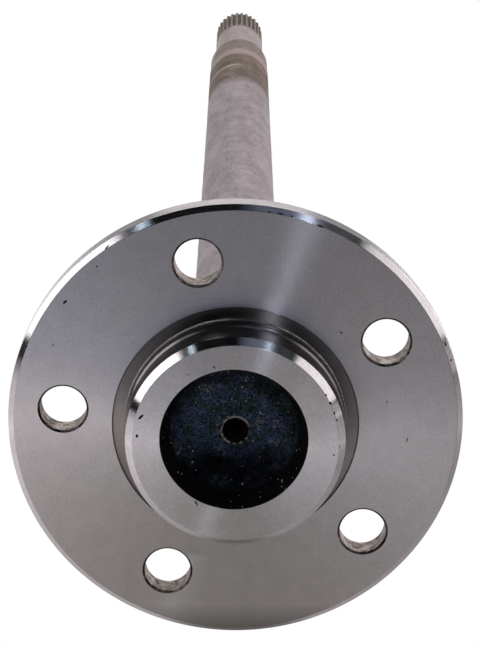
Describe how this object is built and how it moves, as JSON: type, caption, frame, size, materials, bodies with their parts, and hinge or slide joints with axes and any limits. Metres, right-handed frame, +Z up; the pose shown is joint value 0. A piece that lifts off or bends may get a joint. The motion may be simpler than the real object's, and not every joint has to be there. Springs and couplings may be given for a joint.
{
  "type": "axle shaft",
  "caption": "Semi-floating rear axle shaft with a drilled wheel flange, a stepped pilot boss with a forged recess, a bearing journal, a rough forged body and a splined inner end.",
  "frame": {"origin": "centre of the flange's wheel face, on the shaft axis", "axes": "-Y points out of the wheel face along the pilot boss, +Y runs along the shaft to the splined end, +Z is up as the picture shows the flange, +X is right as the wheel sees it"},
  "size_m": [0.1671, 0.7905, 0.1672],
  "materials": {
    "forged_steel": "turned bright on the flange and boss, ground on the journal, grey forged skin on the body, black forging scale in the recess"
  },
  "bodies": {
    "root": {"axle_shaft": "forged_steel"}
  },
  "joints": []
}
